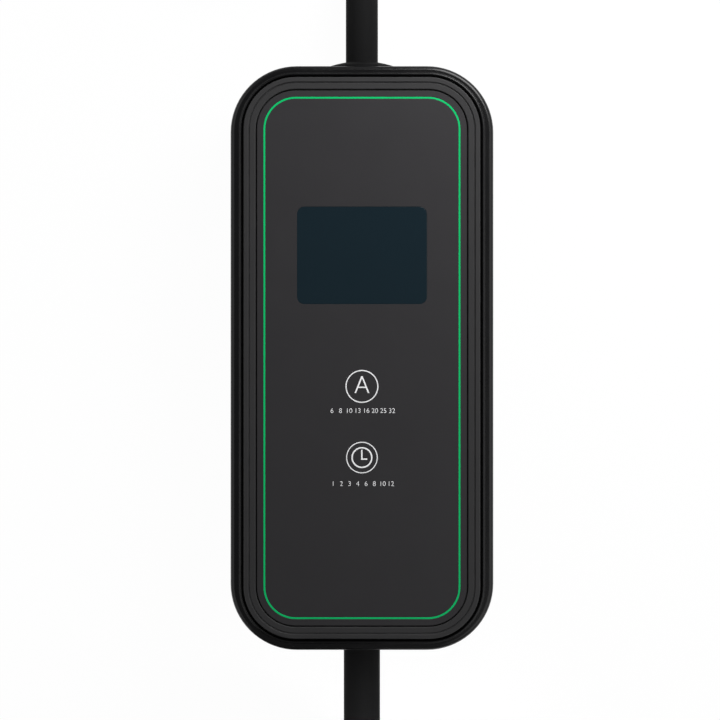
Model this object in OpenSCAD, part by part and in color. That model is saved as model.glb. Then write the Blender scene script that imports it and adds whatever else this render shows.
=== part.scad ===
// Portable charger for electric vehicles: a sealed control box with a touch panel,
// a short mains lead with an earthed plug, and a long vehicle cable with its connector.
// X runs across the box, Y along it towards the mains end, Z out of the front panel.

/* [Housing] */

// Width of the box
body_w = 99.2; // [96:0.2:104]
// Length of the box
body_l = 220.4; // [214:0.2:230]
// Height of the front panel's face over the back
body_h = 51.2; // [50.4:0.2:56]
// Radius of the outline's corners
corner_r = 25; // [23.5:0.5:26]
// Thickness of the moulded walls
wall = 2.6; // [2.4:0.1:2.8]
// Rounding of the back edge
back_r = 6; // [5:0.5:6.5]
// Height of the joint between the rear and front housings
split_z = 34; // [33.4:0.2:35]

/* [Rim and bezel] */

// Width of the front housing's rim
rim_w = 3.85; // [3.6:0.05:4.1]
// Rounding of the rim's outer edge
rim_r = 1.6; // [1.2:0.1:2]
// Radius of the bead that runs round the rim
bead_r = 0.55; // [0.4:0.05:0.65]
// Gap between the rim and the bezel
rim_gap = 0.7; // [0.5:0.1:0.9]
// Width of the bezel
bezel_w = 4.55; // [4.2:0.05:4.9]
// Width of the bezel's higher outer terrace
terrace_w = 2.05; // [1.8:0.05:2.3]
// Gap between the bezel and the front panel
panel_gap = 0.5; // [0.3:0.1:0.7]

/* [Front panel] */

// Thickness of the front panel
panel_t = 2; // [1.8:0.1:2.4]
// Distance from the panel's edge to the green line
line_inset = 2.4; // [2:0.1:3]
// Width of the green line
line_w = 0.7; // [0.6:0.05:1.2]
// Width of the display window
window_w = 49; // [46:0.5:50]
// Length of the display window
window_l = 36.75; // [34:0.25:37.5]
// Place of the display window along the box
window_y = 38.65; // [36:0.25:40]
// Place of the upper touch key
upper_key_y = -10.7; // [-12:0.1:-9]
// Place of the lower touch key
lower_key_y = -37.5; // [-39:0.1:-36]

/* [Cable entries] */

// Height of both cables over the back
cord_z = 19; // [18.6:0.2:19.2]
// Diameter of the mains lead
mains_d = 12.4; // [11.6:0.1:12.4]
// Diameter of the vehicle cable
vehicle_d = 14; // [13.4:0.1:14]
// Radius of the mains gland's domed collar
collar_r = 12.7; // [12:0.1:13]

/* [Mains plug] */

// Radius of the plug's body
plug_r = 18.8; // [18.4:0.1:18.8]
// Length of the plug's body behind its face
plug_l = 50; // [48:1:54]
// Radius of a plug pin
pin_r = 2.4; // [2.3:0.05:2.4]
// Length of a plug pin past the face
pin_l = 19; // [18:0.5:19]

/* [Vehicle connector] */

// Radius of the contact carrier
carrier_r = 27.5; // [27:0.25:28]
// Distance from the connector's axis to its flat
flat_y = 22; // [21.8:0.1:22]
// Length of the contact carrier past the handle
carrier_l = 54; // [50:1:58]
// Length of the handle
handle_l = 106; // [104:1:112]

/* [Hidden] */

$fn = 72;

// Clearance between pieces that slide into each other
fit = 0.1;
// Clearance of a screw and its head in their holes
hole_gap = 0.25;
// How far a cut runs past the face that it opens
over = 1;
end_y = body_l / 2;
side_x = body_w / 2;

// Heights through the front, from the panel's face down
tape_t = 0.2;
tape_in = 0.5;
deck_t = 2;
skirt_h = 2;
panel_back = body_h - panel_t;
deck_top = panel_back - tape_t;
deck_low = deck_top - deck_t;
ledge_top = deck_low - skirt_h;
ledge_t = 2;
rim_z = body_h - 1.6;
terrace_z = body_h + 0.1;
bezel_z = body_h + 0.4;

// The frame that the bezel and the panel follow: the rim is wider at the sides than at the ends
side_rim_extra = 0.5;
end_rim_extra = -0.15;
front_w = body_w - 2 * side_rim_extra;
front_l = body_l - 2 * end_rim_extra;
front_r = corner_r - 0.9;
rim_base = rim_w + 2 * side_rim_extra;

// Insets from that frame
bezel_out = rim_w + rim_gap;
bezel_in = bezel_out + bezel_w;
panel_inset = bezel_in + panel_gap;
line_out = panel_inset + line_inset;
line_t = 0.3;
bead_in = 3.25;
ledge_in = bezel_in;

// Display
lens_lip = 1.6;
lens_lip_t = 0.85;
lens_r = 2.8;
deck_rim = 0.5;
glass_t = 1;
tray_t = 1.4;
lcd_w = 60.3;
lcd_l = 42.7;
glass_w = lcd_w - 2;
glass_l = lcd_l - 1.6;
key_hole_r = 6;
key_ys = [upper_key_y, lower_key_y];

// Seal between the housings
land_w = 3.4;
land_h = 4;
seal_in = wall + 0.8;
seal_w = 2;
seal_groove = 2.2;
tongue_h = 0.6;

// Case screws, put in from the back
boss_r = 4.2;
screw_r = 1.5;
head_r = 2.9;
head_h = 2.4;
seat_z = 6;
screw_top = split_z + 7;
boss_in = wall + land_w + boss_r + 0.3;
boss_diag = (corner_r - boss_in) * cos(45);
boss_x = side_x - corner_r + boss_diag;
boss_y = end_y - corner_r + boss_diag;
case_points = [
    for (sx = [-1, 1])
        for (p = [[boss_x, boss_y], [boss_x, -boss_y], [side_x - boss_in, 0]])
            [sx * p.x, p.y]
];

// Bezel screws, put in from inside
bezel_screw_in = (bezel_out + ledge_in) / 2;
bezel_screw_y = 52;
bezel_screw_x = 18;
bezel_head_r = 1.9;
bezel_thread = 3;
bezel_hole = 3.5;
bezel_points = [
    for (sx = [-1, 1]) for (sy = [-1, 1])
        for (p = [
            [front_w / 2 - bezel_screw_in, bezel_screw_y],
            [bezel_screw_x, front_l / 2 - bezel_screw_in]
        ]) [sx * p.x, sy * p.y]
];

// Boards
board_t = 1.6;
board_side_gap = 16.25;
board_end_gap = 37.75;
post_in = 5;
power_w = body_w - 2 * board_side_gap;
power_l = body_l - 2 * board_end_gap;
power_z = 10;
power_top = power_z + board_t;
post_r = 3.2;
post_thread = 5;
post_hole = 6;
power_points = [
    for (sx = [-1, 1]) for (sy = [-1, 1])
        [sx * (power_w / 2 - post_in), sy * (power_l / 2 - post_in - post_r)]
];
control_w = power_w;
control_top = deck_low - glass_t - tray_t;
control_z = control_top - board_t;
control_post_r = 2.6;
control_thread = 3;
control_hole = 3.5;
small_r = 1.1;
control_screw_r = 0.85;
small_head_r = 2.1;
small_head_h = 1.6;

// Parts on the boards
socket_w = 16;
socket_l = 6;
socket_h = 6;
ribbon_w = socket_w - 2;
ribbon_t = 1;
relay_w = 12.8;
relay_l = 29;
relay_h = 20.5;
relay_xs = [-20.4, 7.6];
sensor_r = 11;
sensor_hole_r = 6;
sensor_l = 10;
sensor_reach = 14;
sensor_wire_r = 1.6;
sensor_wire_x = 2.6;
supply_size = [34, 24, 17];
supply_x = -29;
capacitor_r = 5.6;
capacitor_h = 20;
varistor_r = 7;
varistor_t = 4.4;
varistor_x = 22;
fuse_x = 26;
fuse_r = 2.6;
fuse_l = 20;
holder_w = 8;
holder_h = 5;
holder_end = 2;

// Glands and cord clamps
mains_r = mains_d / 2;
vehicle_r = vehicle_d / 2;
gland_wall = 2.6;
nut_t = 5;
nut_rim = 3;
neck_wall = 2.7;
neck_lap = 0.5;
ring_h = 1.2;
ring_edge = 0.8;
spigot_l = nut_t + 1;
dome_r = 39.8;
dome_h = 4.4;
clamp_l = 8;
clamp_y = end_y - 19.75;
clamp_gap = 1;
clamp_wing = 8;
clamp_screw_out = 4.6;
clamp_thread = 9;
clamp_hole = 10;
clamp_top = 4;
cord_start = clamp_y - 2;

// Terminals on the power board
terminal_l = 10;
terminal_h = 15;
terminal_pitch = 9;
terminal_end = 2;
terminal_hole_r = 2;
terminal_well = 3;
terminal_well_y = -6.5;
core_depth = 5;
mains_core_r = 1.5;
mains_core_gap = 3.5;
vehicle_core_r = 1.4;
vehicle_core_gap = 3.2;
core_stub = 3;

// Rows of parts on the power board, from the mains end, with equal gaps between them
link_row = 7;
row_gap = (power_l - 2 * terminal_l - supply_size.y - relay_l - 2 * sensor_reach - link_row) / 5;
supply_y = power_l / 2 - terminal_l - row_gap - supply_size.y;
relay_y = supply_y - row_gap - relay_l;
sensor_y = relay_y - row_gap - sensor_reach;
link_y = sensor_y - sensor_reach - row_gap - link_row / 2;
capacitor_places = [for (p = [[14, 6], [14, 20], [25, 13]]) [p.x, supply_y + p.y]];
varistor_places = [for (x = [-varistor_x, varistor_x]) [x, link_y + varistor_t / 2]];

// The control board reaches from the ribbon's row to past the display
board_margin = 8;
control_low_y = link_y - board_margin;
control_high_y = window_y + lcd_l / 2 + board_margin;
control_points = [
    for (sx = [-1, 1]) for (y = [control_low_y + post_in, control_high_y - post_in])
        [sx * (control_w / 2 - post_in), y]
];

// Height of a cord that sinks from its exit to the floor: 1 is the exit's height, 0 is the floor
function sunk(cord_r, share) = cord_r + (cord_z - cord_r) * share;

// The mains lead: down to the floor, one loop on it, then on to the plug
loop_r = 56;
loop_y = 209;
loop_rise_from = 230;
loop_rise_to = 318;
plug_y = 232;
mains_lead = [
    for (p = [
        [cord_start, 1], [102, 1], [114, 1], [122, 1], [132, 0.94], [142, 0.76], [152, 0.5],
        [163, 0.24], [173, 0.06], [183, 0], [196, 0]
    ]) [0, p.x, sunk(mains_r, p.y)]
];
mains_loop = [
    for (a = [0 : 15 : 360]) [loop_r * (cos(a) - 1), loop_y + loop_r * sin(a), loop_z(a)]
];
mains_tail = [for (y = [222, 246, 270]) [0, y, plug_r]];

// The vehicle cable: down to the floor, a hank, and the tail that lies on it
hank_mid = 48.75;
hank_x = -hank_mid - vehicle_r;
hank_near = -209.5;
hank_far = -332;
hank_out = hank_mid + vehicle_d;
hank_in = hank_mid - vehicle_d;
hank_h = 4 * vehicle_d;
lead_notch_h = 17;
notch_gap = 0.3;
tie_w = 20;
tie_t = 1.3;
connector_y = -209;
connector_z = hank_h + flat_y;
vehicle_lead_route = [
    for (p = [
        [cord_start, 1], [102, 1], [118, 1], [130, 0.94], [142, 0.76], [154, 0.5], [166, 0.25],
        [178, 0.07], [190, 0], [-hank_near, 0]
    ]) [0, -p.x, sunk(vehicle_r, p.y)]
];
tail_z = hank_h + tie_t + vehicle_r + fit / 2;
tail_run = [for (y = [-322, -290, -255, -225]) [2 * hank_x, y, tail_z]];
tail_turn = [
    for (a = [180 : -15 : 0])
        [hank_x * (1 - cos(a)), hank_near - hank_x * sin(a),
            tail_z + (connector_z - tail_z) * ease((180 - a) / 180)]
];
tail_end = [for (y = [-216, -232, -250, -269]) [0, y, connector_z]];

// Ties round the hank
tie_places = [[hank_x - hank_mid, -238], [hank_x - hank_mid, -302], [hank_x + hank_mid, -226]];
bundle_w = hank_out - hank_in;

// Plug and connector
boot_l = 40;
boot_spigot = 12;
boot_step = 2;
boot_lip = 0.7;
boot_root = 8;
groove_pitch = 6;
groove_w = 2.4;
groove_depth = 0.6;
plug_boot_r = 10.6;
connector_boot_r = 13;
plug_face_z = boot_l + plug_l;
plug_tail_r = 12;
plug_waist_r = 15.5;
plug_waist_from = 12;
plug_waist_to = 22;
plug_head_from = 27;
plug_band = 4;
plug_edge = 1;
plug_rib_r = 1.2;
pin_x = 9.5;
clip_w = 6;
clip_t = 1.2;
clip_l = 15;
clip_gap = 1.2;
clip_slot_depth = 4.5;
clip_y = plug_r - clip_slot_depth;
pin_root_l = 12;
pin_root_r = pin_r - 0.2;
handle_z0 = boot_l;
handle_z1 = boot_l + handle_l;
handle_wall = 2.5;
grip_r = 21.5;
grip_arc = 250;
half_space = 60;
flare_l = 22;
flare_from_r = 17;
handle_boss_r = 3.2;
handle_screw_x = 8;
handle_screw_l = 14;
collar_z = handle_z1 - 6;
connector_collar_r = 29.5;
carrier_flange_t = 4;
seal_t = 0.8;
seal_hole_r = 19;
carrier_step = 0.6;
carrier_z0 = handle_z1 + seal_t;
carrier_z1 = carrier_z0 + carrier_l;
contact_front = 6;
contact_l = 44;
contact_bore = 38;
power_contact_r = 3;
power_sleeve_r = 4.5;
signal_contact_r = 1.5;
signal_sleeve_r = 2.6;
power_hole_r = power_contact_r + 0.3;
signal_hole_r = signal_contact_r + 0.2;
power_places = [[-16, 0], [0, 0], [16, 0]];
signal_places = [[-9.5, 11.5], [9.5, 11.5]];
spare_places = [[-8.5, -13.5], [8.5, -13.5]];
spare_l = 44;
lock_w = 7;
lock_l = 8;
lock_depth = 5;
lock_z = 26;
handle_screw_y = -14;
handle_screw_places = [58, 98, 134];

// Plate with rounded corners, standing on z = 0
module plate(w, l, r, h) {
    for (q = [0 : 3]) {
        translate([(q == 0 || q == 3 ? 1 : -1) * (w / 2 - r), (q < 2 ? 1 : -1) * (l / 2 - r), 0])
            rotate(90 * q)
                rotate_extrude(angle = 90)
                    square([r, h]);
    }
    translate([-w / 2 + r, -l / 2, 0])
        cube([w - 2 * r, l, h]);
    for (x = [-w / 2, w / 2 - r])
        translate([x, -l / 2 + r, 0])
            cube([r, l - 2 * r, h]);
}

// Section swept round a rounded rectangle: x runs outward from the outline, y is the height
module around(w, l, r) {
    for (q = [0 : 3]) {
        translate([(q == 0 || q == 3 ? 1 : -1) * (w / 2 - r), (q < 2 ? 1 : -1) * (l / 2 - r), 0])
            rotate(90 * q)
                rotate_extrude(angle = 90)
                    translate([r, 0])
                        children();
    }
    for (turn = [0, 180]) {
        rotate(turn)
            translate([w / 2, l / 2 - r, 0])
                rotate([90, 0, 0])
                    linear_extrude(l - 2 * r)
                        children();
        rotate(turn + 90)
            translate([l / 2, w / 2 - r, 0])
                rotate([90, 0, 0])
                    linear_extrude(w - 2 * r)
                        children();
    }
}

// Section swept round the outline of the box
module around_body() {
    around(body_w, body_l, corner_r)
        children();
}

// Plate with the outline of the box, set in by a distance
module body_plate(inset, h) {
    plate(body_w - 2 * inset, body_l - 2 * inset, corner_r - inset, h);
}

// The same two for the frame of the bezel and the panel
module around_front() {
    around(front_w, front_l, front_r)
        children();
}

module front_plate(inset, h) {
    plate(front_w - 2 * inset, front_l - 2 * inset, front_r - inset, h);
}

// Plate with the outline of the display window, grown by a distance
module window_plate(grow, h) {
    translate([0, window_y, 0])
        plate(window_w + 2 * grow, window_l + 2 * grow, lens_r + grow, h);
}

// Copies at a list of places in the plane
module at(places, z = 0) {
    for (p = places)
        translate([p.x, p.y, z])
            children();
}

function unit(v) = v / norm(v);

function heading(route, i) = unit(route[min(i + 1, len(route) - 1)] - route[max(i - 1, 0)]);

// One ring of points across a route
function ring(centre, ahead, aside, r, sides) = [
    for (k = [0 : sides - 1])
        let (a = 360 * k / sides, across = unit(cross(ahead, aside)), up = cross(across, ahead))
            centre + r * (cos(a) * across + sin(a) * up)
];

// Round cord along a route
module tube(route, r, sides = 12, aside = [0, 0, 1]) {
    n = len(route);
    last = (n - 1) * sides;
    points = [for (i = [0 : n - 1]) each ring(route[i], heading(route, i), aside, r, sides)];
    walls = [
        for (i = [0 : n - 2]) for (k = [0 : sides - 1])
            let (a = i * sides + k, b = i * sides + (k + 1) % sides)
                each [[a, b, a + sides], [b, b + sides, a + sides]]
    ];
    ends = [
        for (k = [1 : sides - 2])
            each [[0, k + 1, k], [last, last + k, last + k + 1]]
    ];
    polyhedron(points, concat(walls, ends));
}

// Screw standing on z = 0 with its head below
module screw(r, l, big_r, big_h) {
    rotate_extrude()
        polygon([[0, -big_h], [big_r, -big_h], [big_r, 0], [r, 0], [r, l], [0, l]]);
}

// The mains end points to +Y and the vehicle end to -Y
module at_mains_wall() {
    translate([0, end_y, cord_z])
        rotate([-90, 0, 0])
            children();
}

module at_vehicle_wall() {
    translate([0, -end_y, cord_z])
        rotate([90, 0, 0])
            children();
}

function neck_r(cord_r) = cord_r + neck_wall;

// Rear housing

// Half of the rear wall's section: the flank, the rounded back edge and the land for the seal
module rear_section() {
    translate([-wall, back_r])
        square([wall, split_z - back_r]);
    translate([-back_r, back_r])
        intersection() {
            difference() {
                circle(back_r);
                circle(back_r - wall);
            }
            translate([0, -back_r])
                square(back_r);
        }
    translate([-wall - land_w, split_z - land_h])
        square([land_w, land_h]);
}

module cord_saddle(y, cord_r) {
    difference() {
        translate([-cord_r - clamp_wing, y, 0])
            cube([2 * (cord_r + clamp_wing), clamp_l, cord_z - clamp_gap]);
        translate([0, y - over, cord_z])
            rotate([-90, 0, 0])
                cylinder(r = cord_r + fit, h = clamp_l + 2 * over);
        for (x = [-1, 1])
            translate([x * (cord_r + clamp_screw_out), y + clamp_l / 2, cord_z - clamp_hole])
                cylinder(r = small_r + fit, h = clamp_hole + over);
    }
}

module rear_housing() {
    color("#17181a")
    difference() {
        union() {
            around_body()
                rear_section();
            body_plate(back_r, wall);
            at(case_points)
                cylinder(r = boss_r, h = split_z);
            at(power_points)
                cylinder(r = post_r, h = power_z);
            cord_saddle(clamp_y, mains_r);
            cord_saddle(-clamp_y - clamp_l, vehicle_r);
        }
        around_body()
            translate([-seal_in - seal_w, split_z - seal_groove])
                square([seal_w, seal_groove + over]);
        at(case_points, -over)
            cylinder(r = head_r + hole_gap, h = seat_z + over);
        at(case_points)
            cylinder(r = screw_r + hole_gap, h = split_z + over);
        at(power_points, power_z - post_hole)
            cylinder(r = small_r + fit, h = post_hole + over);
        at_mains_wall()
            translate([0, 0, -wall - over])
                cylinder(r = neck_r(mains_r) + fit, h = wall + 2 * over);
        at_vehicle_wall()
            translate([0, 0, -wall - over])
                cylinder(r = neck_r(vehicle_r) + fit, h = wall + 2 * over);
    }
}

module housing_screws() {
    color("#8d8f92")
    at(case_points, seat_z)
        screw(screw_r, screw_top - seat_z, head_r, head_h);
}

module housing_seal() {
    color("#3a3b3d")
    around_body()
        translate([-seal_in - seal_w + fit, split_z - seal_groove])
            square([seal_w - 2 * fit, seal_groove - tongue_h]);
}

// Front housing: flank and rounded rim, then the bead and the ledge that carries the bezel
module front_section() {
    translate([-wall, split_z])
        square([wall, ledge_top - ledge_t - split_z]);
    translate([-rim_base, ledge_top - ledge_t])
        square([rim_base, rim_z - rim_r - ledge_top + ledge_t]);
    translate([-rim_base, rim_z - rim_r])
        square([rim_base - rim_r, rim_r]);
    translate([-rim_r, rim_z - rim_r])
        intersection() {
            circle(rim_r);
            square(rim_r);
        }
    translate([-wall - land_w, split_z])
        square([land_w, land_h]);
    translate([-seal_in - seal_w + 2 * fit, split_z - tongue_h])
        square([seal_w - 4 * fit, tongue_h]);
}

module bead_and_ledge_section() {
    translate([-bead_in, rim_z])
        circle(bead_r);
    translate([-ledge_in, ledge_top - ledge_t])
        square([ledge_in - rim_w, ledge_t]);
}

module front_housing() {
    color("#141517")
    difference() {
        union() {
            difference() {
                around_body()
                    front_section();
                translate([0, 0, ledge_top])
                    front_plate(rim_w, body_h);
            }
            around_front()
                bead_and_ledge_section();
            at(case_points, split_z)
                cylinder(r = boss_r, h = ledge_top - split_z);
        }
        at(case_points, split_z - over)
            cylinder(r = screw_r + fit / 2, h = screw_top - split_z + 2 * over);
        at(bezel_points, ledge_top - ledge_t - over)
            cylinder(r = small_r + fit, h = ledge_t + 2 * over);
        at(bezel_points, ledge_top - ledge_t - small_head_h - fit)
            cylinder(r = bezel_head_r + fit, h = small_head_h + fit);
    }
}

// Bezel: two terraces round the panel, and the deck under it
module bezel_section() {
    edge = 0.25;
    slope = 0.4;
    crease = 0.3;
    step = bezel_w - terrace_w;
    polygon([
        [0, ledge_top], [bezel_w, ledge_top], [bezel_w, bezel_z - edge], [bezel_w - edge, bezel_z],
        [step + slope, bezel_z], [step, terrace_z - crease], [step - crease, terrace_z],
        [edge, terrace_z], [0, terrace_z - edge]
    ]);
}

module bezel_frame() {
    color("#333436")
    difference() {
        union() {
            around_front()
                translate([-bezel_in, 0])
                    bezel_section();
            translate([0, 0, deck_low])
                front_plate(bezel_in, deck_t);
            at(control_points, control_top)
                cylinder(r = control_post_r, h = deck_low - control_top);
        }
        translate([0, 0, deck_low - over])
            window_plate(deck_rim, deck_t + 2 * over);
        for (y = key_ys)
            translate([0, y, deck_low - over])
                cylinder(r = key_hole_r, h = deck_t + 2 * over);
        at(control_points, control_top - over)
            cylinder(r = control_screw_r + fit / 2, h = control_hole + over);
        at(bezel_points, ledge_top - over)
            cylinder(r = small_r + fit / 2, h = bezel_hole + over);
    }
}

module bezel_screws() {
    color("#8d8f92")
    at(bezel_points, ledge_top - ledge_t)
        screw(small_r, ledge_t + bezel_thread, bezel_head_r, small_head_h);
}

// Front panel with its window and the groove for the green line
module front_panel() {
    color("#37373a")
    difference() {
        translate([0, 0, panel_back])
            front_plate(panel_inset, panel_t);
        translate([0, 0, panel_back - over])
            window_plate(0, panel_t + 2 * over);
        translate([0, 0, panel_back - over])
            window_plate(lens_lip, lens_lip_t + over + fit / 2);
        around_front()
            translate([-line_out - line_w, body_h - line_t])
                square([line_w, line_t + over]);
    }
}

module green_trim() {
    color("#12b463")
    around_front()
        translate([-line_out - line_w, body_h - line_t])
            square([line_w, line_t]);
}

module panel_tape() {
    color("#202123")
    difference() {
        translate([0, 0, deck_top])
            front_plate(panel_inset + tape_in, tape_t);
        translate([0, 0, deck_top - over])
            window_plate(deck_rim, tape_t + 2 * over);
        for (y = key_ys)
            translate([0, y, deck_top - over])
                cylinder(r = key_hole_r, h = tape_t + 2 * over);
    }
}

module display_window() {
    color("#19242a")
    translate([0, 0, panel_back]) {
        window_plate(lens_lip - fit, lens_lip_t);
        translate([0, 0, lens_lip_t])
            window_plate(-fit / 2, panel_t - lens_lip_t);
    }
}

module display_glass() {
    color("#20303a")
    translate([-glass_w / 2, window_y - glass_l / 2, deck_low - glass_t])
        cube([glass_w, glass_l, glass_t]);
}

module display_tray() {
    color("#b8bcc0")
    translate([-lcd_w / 2, window_y - lcd_l / 2, control_top])
        cube([lcd_w, lcd_l, tray_t]);
}

// Boards and what they carry
module control_board() {
    color("#1f5c3a")
    difference() {
        translate([-control_w / 2, control_low_y, control_z])
            cube([control_w, control_high_y - control_low_y, board_t]);
        at(control_points, control_z - over)
            cylinder(r = small_r + fit, h = board_t + 2 * over);
    }
}

module control_screws() {
    color("#8d8f92")
    at(control_points, control_z)
        screw(control_screw_r, board_t + control_thread, small_head_r, small_head_h);
}

// Touch springs whose caps press on the back of the panel
module touch_springs() {
    wire_r = 0.35;
    coil_r = 3.6;
    cap_r = 4.6;
    cap_t = 0.4;
    steps = 12;
    count = 4 * steps;
    rise = panel_back - control_top - cap_t - 2 * wire_r;
    coil = [
        for (i = [0 : count])
            [coil_r * cos(360 * i / steps), coil_r * sin(360 * i / steps), wire_r + rise * i / count]
    ];
    color("#c0a050")
    for (y = key_ys)
        translate([0, y, control_top]) {
            tube(coil, wire_r, 6);
            translate([0, 0, panel_back - control_top - cap_t])
                cylinder(r = cap_r, h = cap_t);
        }
}

module ribbon_sockets() {
    color("#26282b")
    for (z = [power_top, control_z - socket_h])
        translate([-socket_w / 2, link_y - socket_l / 2, z])
            cube([socket_w, socket_l, socket_h]);
}

module ribbon_cable() {
    color("#7b8085")
    translate([-ribbon_w / 2, link_y - ribbon_t / 2, power_top + socket_h])
        cube([ribbon_w, ribbon_t, control_z - power_top - 2 * socket_h]);
}

module power_board() {
    color("#1f5c3a")
    difference() {
        translate([-power_w / 2, -power_l / 2, power_z])
            cube([power_w, power_l, board_t]);
        at(power_points, power_z - over)
            cylinder(r = small_r + hole_gap, h = board_t + 2 * over);
    }
}

module board_screws() {
    color("#8d8f92")
    at(power_points, power_top)
        mirror([0, 0, 1])
            screw(small_r, board_t + post_thread, small_head_r, small_head_h);
}

module relays() {
    color("#1d4f86")
    for (x = relay_xs)
        translate([x, relay_y, power_top])
            cube([relay_w, relay_l, relay_h]);
}

module leakage_sensor() {
    color("#2b2d30")
    translate([0, sensor_y, power_top + sensor_r])
        rotate([90, 0, 0])
            rotate_extrude()
                translate([sensor_hole_r, -sensor_l / 2])
                    square([sensor_r - sensor_hole_r, sensor_l]);
}

module sensor_wires() {
    mid = power_top + sensor_r;
    bend = 5;
    corner = 1.5;
    half = [
        [sensor_reach, power_top], [sensor_reach, mid - bend], [sensor_reach - corner, mid - corner],
        [sensor_reach - bend, mid]
    ];
    color("#6b3f22")
    for (x = [-sensor_wire_x, sensor_wire_x])
        tube(concat(
            [for (i = [0 : 3]) [x, sensor_y + half[i].x, half[i].y]],
            [for (i = [3 : -1 : 0]) [x, sensor_y - half[i].x, half[i].y]]
        ), sensor_wire_r, 8, [1, 0, 0]);
}

module supply_module() {
    color("#1b1c1e")
    translate([supply_x, supply_y, power_top])
        cube(supply_size);
}

module capacitors() {
    color("#27384d")
    at(capacitor_places, power_top)
        cylinder(r = capacitor_r, h = capacitor_h);
}

module varistors() {
    color("#2f63a0")
    at(varistor_places, power_top + varistor_r)
        rotate([90, 0, 0])
            cylinder(r = varistor_r, h = varistor_t);
}

module fuse_holder() {
    color("#232427")
    difference() {
        translate([fuse_x - holder_w / 2, sensor_y - fuse_l / 2 - holder_end, power_top])
            cube([holder_w, fuse_l + 2 * holder_end, holder_h]);
        translate([fuse_x, sensor_y - fuse_l / 2 - fit, power_top + holder_h])
            rotate([-90, 0, 0])
                cylinder(r = fuse_r + fit, h = fuse_l + 2 * fit);
    }
}

module fuse() {
    color("#c9ccd0")
    translate([fuse_x, sensor_y - fuse_l / 2, power_top + holder_h])
        rotate([-90, 0, 0])
            cylinder(r = fuse_r, h = fuse_l);
}

// Row of screw terminals with a wire entry and a screw well for each core
module terminal_row(count) {
    w = count * terminal_pitch + 2 * terminal_end;
    difference() {
        translate([-w / 2, -terminal_l, 0])
            cube([w, terminal_l, terminal_h]);
        for (i = [0 : count - 1])
            translate([(i - (count - 1) / 2) * terminal_pitch, 0, 0]) {
                translate([0, over, cord_z - power_top])
                    rotate([90, 0, 0])
                        cylinder(r = terminal_hole_r, h = core_depth + over);
                translate([0, terminal_well_y, terminal_h - terminal_well])
                    cylinder(r = terminal_hole_r, h = terminal_well + over);
            }
    }
}

module mains_terminals() {
    color("#3d7f4c")
    translate([0, power_l / 2, power_top])
        terminal_row(3);
}

module vehicle_terminals() {
    color("#3d7f4c")
    translate([0, -power_l / 2, power_top])
        rotate(180)
            terminal_row(4);
}

// Cores fan out from the cord's end to the terminals
module cores(count, spread, r) {
    near = power_l / 2;
    far = cord_start;
    for (i = [0 : count - 1]) {
        from_x = (i - (count - 1) / 2) * spread;
        to_x = (i - (count - 1) / 2) * terminal_pitch;
        tube([
            [from_x, far, cord_z], [from_x, far - core_stub, cord_z],
            [from_x + (to_x - from_x) * 0.25, far - (far - near) * 0.35, cord_z],
            [from_x + (to_x - from_x) * 0.75, far - (far - near) * 0.65, cord_z],
            [to_x, near + core_stub, cord_z], [to_x, near - core_depth, cord_z]
        ], r, 8);
    }
}

module mains_cores() {
    color("#2c55b5")
    cores(3, mains_core_gap, mains_core_r);
}

module vehicle_cores() {
    color("#2c55b5")
    rotate(180)
        cores(4, vehicle_core_gap, vehicle_core_r);
}

// Glands: a collar outside the wall, a neck through it and a nut inside
module gland_body(cord_r) {
    difference() {
        union() {
            children();
            translate([0, 0, -gland_wall - spigot_l])
                cylinder(r = neck_r(cord_r), h = gland_wall + spigot_l + neck_lap);
        }
        translate([0, 0, -gland_wall - spigot_l - over])
            cylinder(r = cord_r + fit, h = gland_wall + spigot_l + dome_h + 2 * over);
    }
}

module gland_nut(cord_r) {
    translate([0, 0, -wall - nut_t])
        difference() {
            cylinder(r = neck_r(cord_r) + nut_rim, h = nut_t, $fn = 6);
            translate([0, 0, -over])
                cylinder(r = neck_r(cord_r) + fit, h = nut_t + 2 * over);
        }
}

module mains_gland() {
    color("#1a1b1d")
    at_mains_wall()
        gland_body(mains_r)
            rotate_extrude()
                intersection() {
                    square([collar_r, dome_h]);
                    translate([0, dome_h - dome_r])
                        circle(dome_r);
                }
}

module mains_gland_nut() {
    color("#232427")
    at_mains_wall()
        gland_nut(mains_r);
}

module vehicle_gland() {
    color("#1a1b1d")
    at_vehicle_wall()
        gland_body(vehicle_r)
            rotate_extrude()
                polygon([
                    [0, 0], [collar_r, 0], [collar_r, ring_h - ring_edge], [collar_r - ring_edge, ring_h],
                    [0, ring_h]
                ]);
}

module vehicle_gland_nut() {
    color("#232427")
    at_vehicle_wall()
        gland_nut(vehicle_r);
}

module cord_clamp(y, cord_r) {
    difference() {
        translate([-cord_r - clamp_wing, y, cord_z + clamp_gap])
            cube([2 * (cord_r + clamp_wing), clamp_l, cord_r + clamp_top - clamp_gap]);
        translate([0, y - over, cord_z])
            rotate([-90, 0, 0])
                cylinder(r = cord_r + fit, h = clamp_l + 2 * over);
        for (x = [-1, 1])
            translate([x * (cord_r + clamp_screw_out), y + clamp_l / 2, cord_z])
                cylinder(r = small_r + hole_gap, h = cord_r + clamp_top + over);
    }
}

module mains_cord_clamp() {
    color("#46484b")
    cord_clamp(clamp_y, mains_r);
}

module vehicle_cord_clamp() {
    color("#46484b")
    cord_clamp(-clamp_y - clamp_l, vehicle_r);
}

module clamp_screw_pair(y, cord_r) {
    for (x = [-1, 1])
        translate([x * (cord_r + clamp_screw_out), y + clamp_l / 2, cord_z + cord_r + clamp_top])
            mirror([0, 0, 1])
                screw(small_r, cord_r + clamp_top + clamp_thread, small_head_r, small_head_h);
}

module clamp_screws() {
    color("#8d8f92")
    {
        clamp_screw_pair(clamp_y, mains_r);
        clamp_screw_pair(-clamp_y - clamp_l, vehicle_r);
    }
}

// Cords
function ease(t) = (1 - cos(180 * min(max(t, 0), 1))) / 2;

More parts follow.
